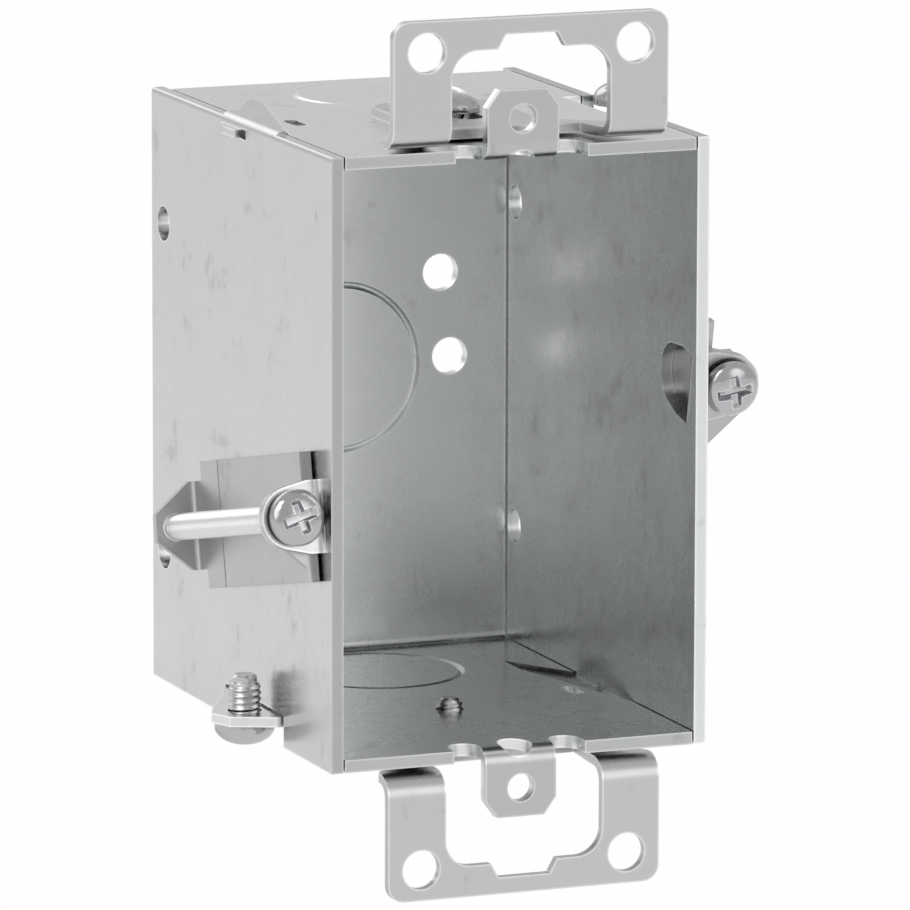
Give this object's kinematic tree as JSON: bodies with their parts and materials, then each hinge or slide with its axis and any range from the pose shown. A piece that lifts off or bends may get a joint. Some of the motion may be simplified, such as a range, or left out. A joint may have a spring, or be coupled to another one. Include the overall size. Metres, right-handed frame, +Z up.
{
  "type": "switch box",
  "caption": "Folded steel wall box for a switch or outlet, with screw-down side plates, adjustable plaster ears, device tabs, side clamps and knockouts",
  "frame": {"origin": "middle of the line between the two device screw holes, in the plane of the box's open front edge", "axes": "+X to the right seen from the open front, +Y into the wall, towards the back of the box, +Z up along the box's length"},
  "size_m": [0.0656, 0.0665, 0.1092],
  "materials": {
    "galvanised_sheet": "rolled galvanised sheet, soft grey sheen with faint rolling streaks",
    "galvanised_strip": "galvanised strip steel, satin grey",
    "zinc_screw": "bright zinc-plated screw"
  },
  "bodies": {
    "box": {"box_body": "galvanised_sheet", "side_panel_left": "galvanised_sheet", "side_panel_right": "galvanised_sheet"},
    "upper_ear": {"plaster_ear_top": "galvanised_strip"},
    "lower_ear": {"plaster_ear_bottom": "galvanised_strip"},
    "upper_ear_screw": {"ear_screw_top": "zinc_screw"},
    "lower_ear_screw": {"ear_screw_bottom": "zinc_screw"},
    "lower_gang_screw": {"gang_screw_lower": "zinc_screw"},
    "upper_gang_screw": {"gang_screw_upper": "zinc_screw"},
    "left_clamp_screw": {"clamp_screw_left": "zinc_screw"},
    "right_clamp_screw": {"clamp_screw_right": "zinc_screw"},
    "left_clamp_strap": {"clamp_strap_left": "galvanised_strip"},
    "right_clamp_strap": {"clamp_strap_right": "galvanised_strip"}
  },
  "joints": [
    {"name": "upper_ear_slide", "type": "slide", "parent": "box", "child": "upper_ear", "axis": [0, 1, 0], "range_m": [-0.005, 0.005]},
    {"name": "lower_ear_slide", "type": "slide", "parent": "box", "child": "lower_ear", "axis": [0, 1, 0], "range_m": [-0.006, 0.0035]},
    {"name": "upper_ear_screw_turn", "type": "hinge", "parent": "box", "child": "upper_ear_screw", "pos_m": [0, 0.0233, 0.0381], "axis": [0, 0, 1], "continuous": true},
    {"name": "lower_ear_screw_turn", "type": "hinge", "parent": "box", "child": "lower_ear_screw", "pos_m": [0, 0.0233, -0.0381], "axis": [0, 0, -1], "continuous": true},
    {"name": "lower_gang_screw_turn", "type": "hinge", "parent": "box", "child": "lower_gang_screw", "pos_m": [-0.0278, 0.0224, -0.0356], "axis": [0, 0, -1], "continuous": true},
    {"name": "upper_gang_screw_turn", "type": "hinge", "parent": "box", "child": "upper_gang_screw", "pos_m": [0.0278, 0.0344, 0.0356], "axis": [0, 0, 1], "continuous": true},
    {"name": "left_clamp_screw_turn", "type": "hinge", "parent": "box", "child": "left_clamp_screw", "pos_m": [-0.0287, 0, -0.0058], "axis": [0, -0.9789, 0.2045], "range_deg": [0, 360]},
    {"name": "left_clamp_strap_slide", "type": "slide", "parent": "box", "child": "left_clamp_strap", "axis": [0, 0.9789, -0.2045], "range_m": [0, 0.00079]},
    {"name": "right_clamp_screw_turn", "type": "hinge", "parent": "box", "child": "right_clamp_screw", "pos_m": [0.0287, 0, 0.0058], "axis": [0, -0.9789, -0.2045], "range_deg": [0, 360]},
    {"name": "right_clamp_strap_slide", "type": "slide", "parent": "box", "child": "right_clamp_strap", "axis": [0, 0.9789, 0.2045], "range_m": [0, 0.00079]}
  ],
  "couplings": [
    {"joint": "left_clamp_screw_turn", "follows": "left_clamp_strap_slide", "rad_per_m": 7915.8},
    {"joint": "right_clamp_screw_turn", "follows": "right_clamp_strap_slide", "rad_per_m": 7915.8}
  ]
}
